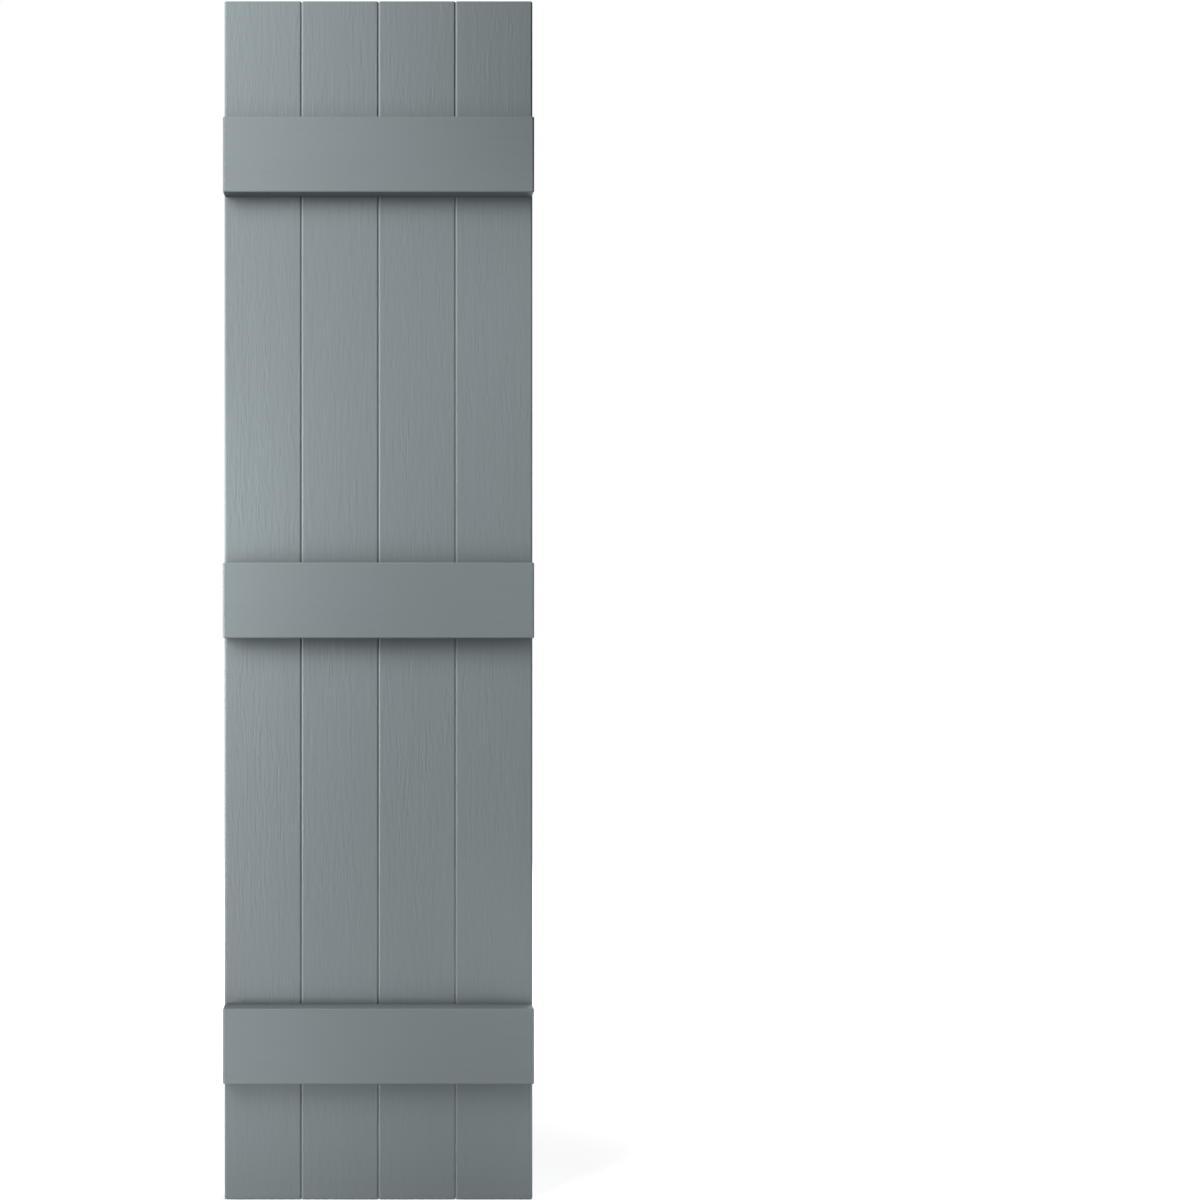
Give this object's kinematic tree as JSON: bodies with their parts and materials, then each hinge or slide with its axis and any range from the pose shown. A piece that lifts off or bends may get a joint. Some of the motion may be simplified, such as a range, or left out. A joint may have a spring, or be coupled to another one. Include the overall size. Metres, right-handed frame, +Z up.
{
  "type": "board and batten shutter",
  "caption": "Exterior window shutter of upright V-jointed boards held side by side by level battens across the front, painted blue-grey, with a flat back for fixing to a wall.",
  "frame": {"origin": "centre of the flat back, in the plane that lies against the wall", "axes": "+Z up along the boards, -Y out of the front with the battens, +X to the right as seen from the front"},
  "size_m": [0.3556, 0.0381, 1.3842],
  "materials": {
    "board_paint": "satin",
    "batten_paint": "satin",
    "screw_steel": "satin"
  },
  "bodies": {
    "root": {"left_outer_board": "board_paint", "left_inner_board": "board_paint", "right_inner_board": "board_paint", "right_outer_board": "board_paint", "top_batten": "batten_paint", "middle_batten": "batten_paint", "bottom_batten": "batten_paint"}
  },
  "joints": []
}
